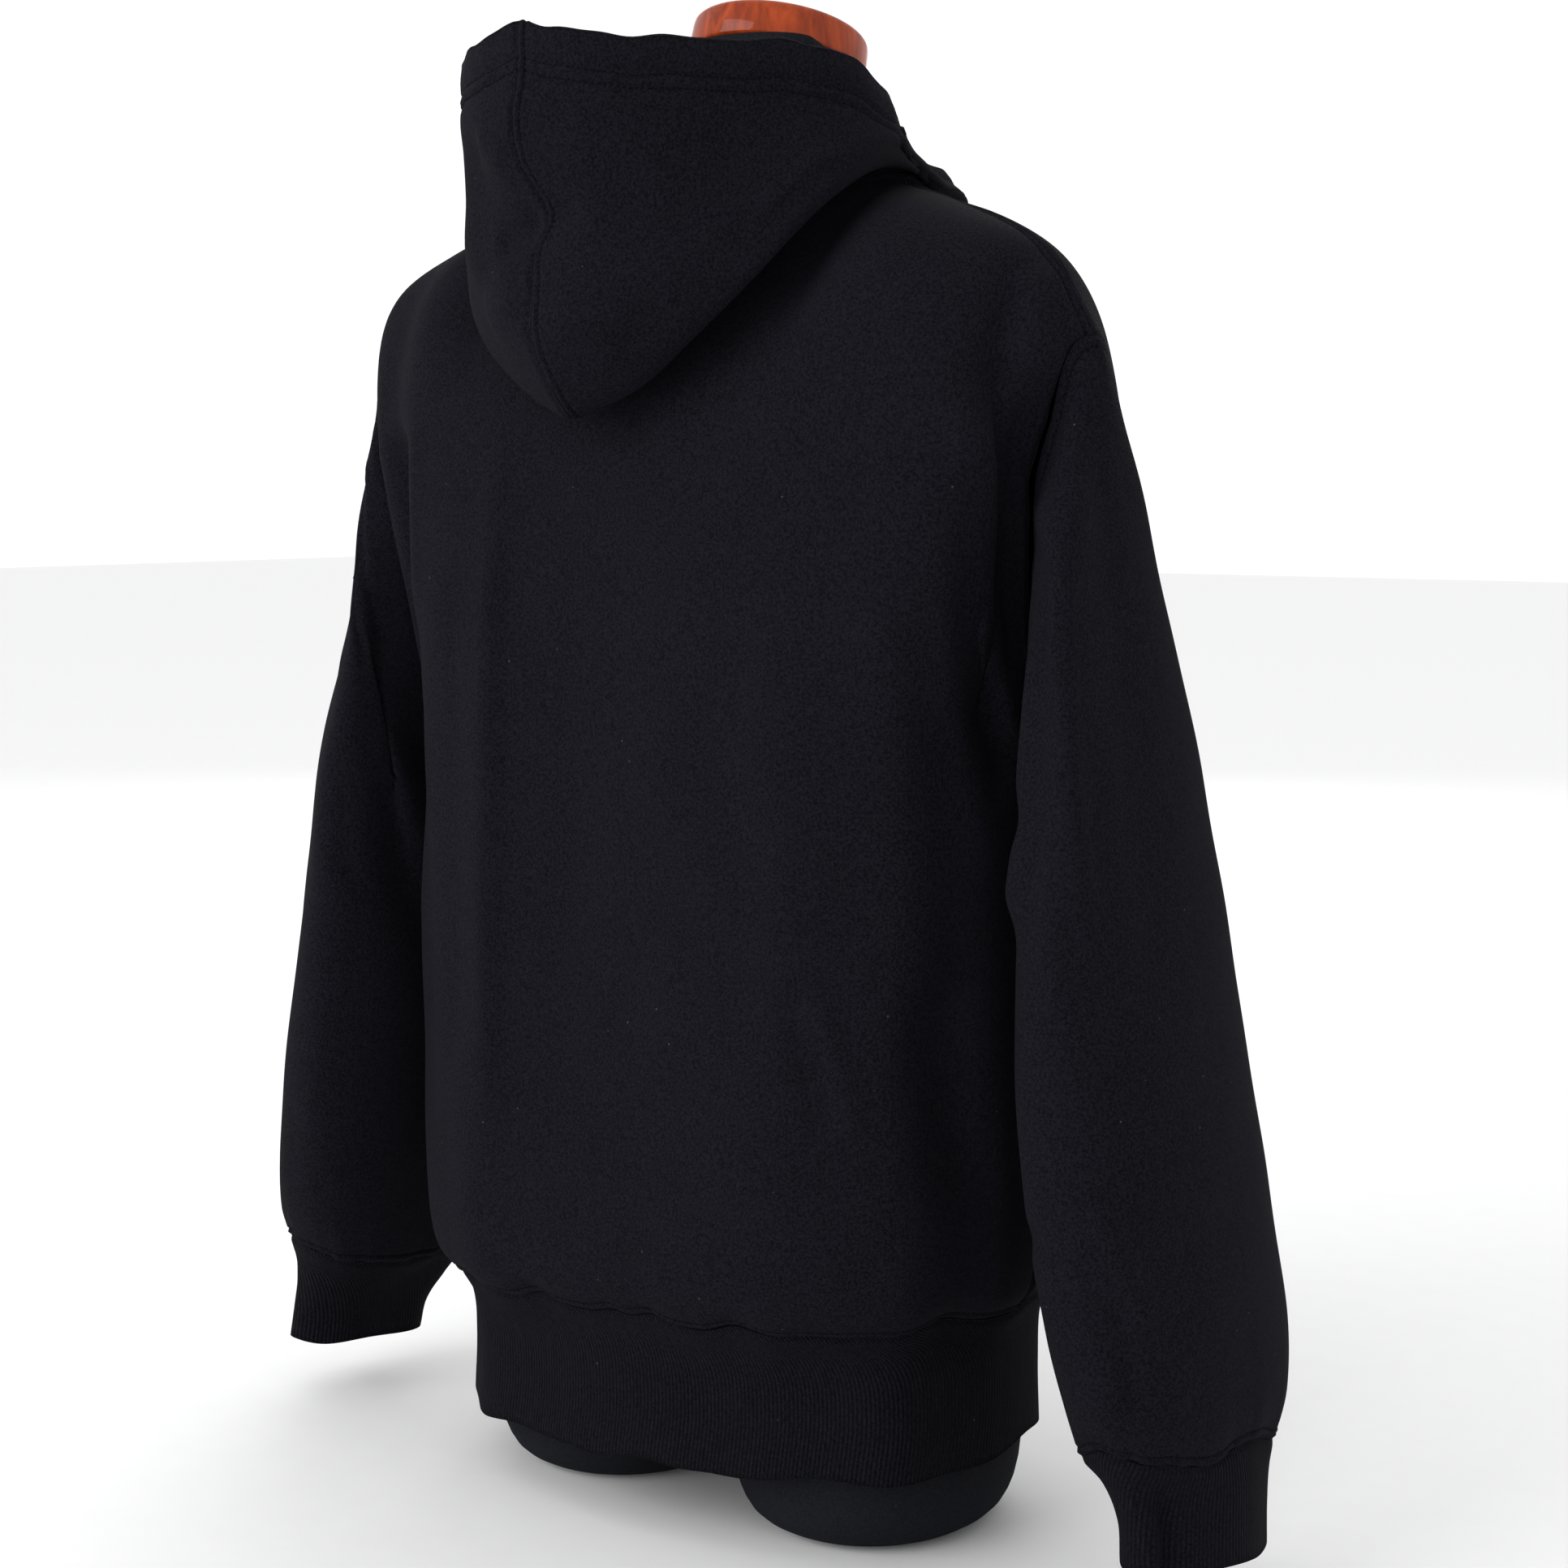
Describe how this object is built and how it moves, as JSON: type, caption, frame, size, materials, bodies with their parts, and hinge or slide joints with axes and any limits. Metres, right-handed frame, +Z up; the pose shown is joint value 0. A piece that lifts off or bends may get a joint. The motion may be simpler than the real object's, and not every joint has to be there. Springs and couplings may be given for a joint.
{
  "type": "pullover hoodie on limbless dress form",
  "caption": "Hooded fleece pullover with ribbed cuffs and hem, hood lying down the back, hung on a limbless dress form with a capped neck.",
  "frame": {"origin": "on the surface the form's two thigh stubs stand on, under the middle of the whole object's width and depth", "axes": "+Z up, the front faces -Y, the wearer's left is +X"},
  "size_m": [0.672, 0.3368, 0.8581],
  "materials": {
    "fleece": "matt black heavy fleece with a fine knit face",
    "rib": "matt black rib knit",
    "form_cloth": "charcoal jersey stretched over the form",
    "wood": "red-brown stained wood under gloss lacquer"
  },
  "bodies": {
    "root": {"back": "fleece", "front": "fleece", "hem_rib": "rib", "sleeve_left": "fleece", "cuff_left": "rib", "sleeve_right": "fleece", "cuff_right": "rib", "hood_left": "fleece", "hood_right": "fleece", "form_torso": "form_cloth", "form_neck_cap": "wood"}
  },
  "joints": []
}
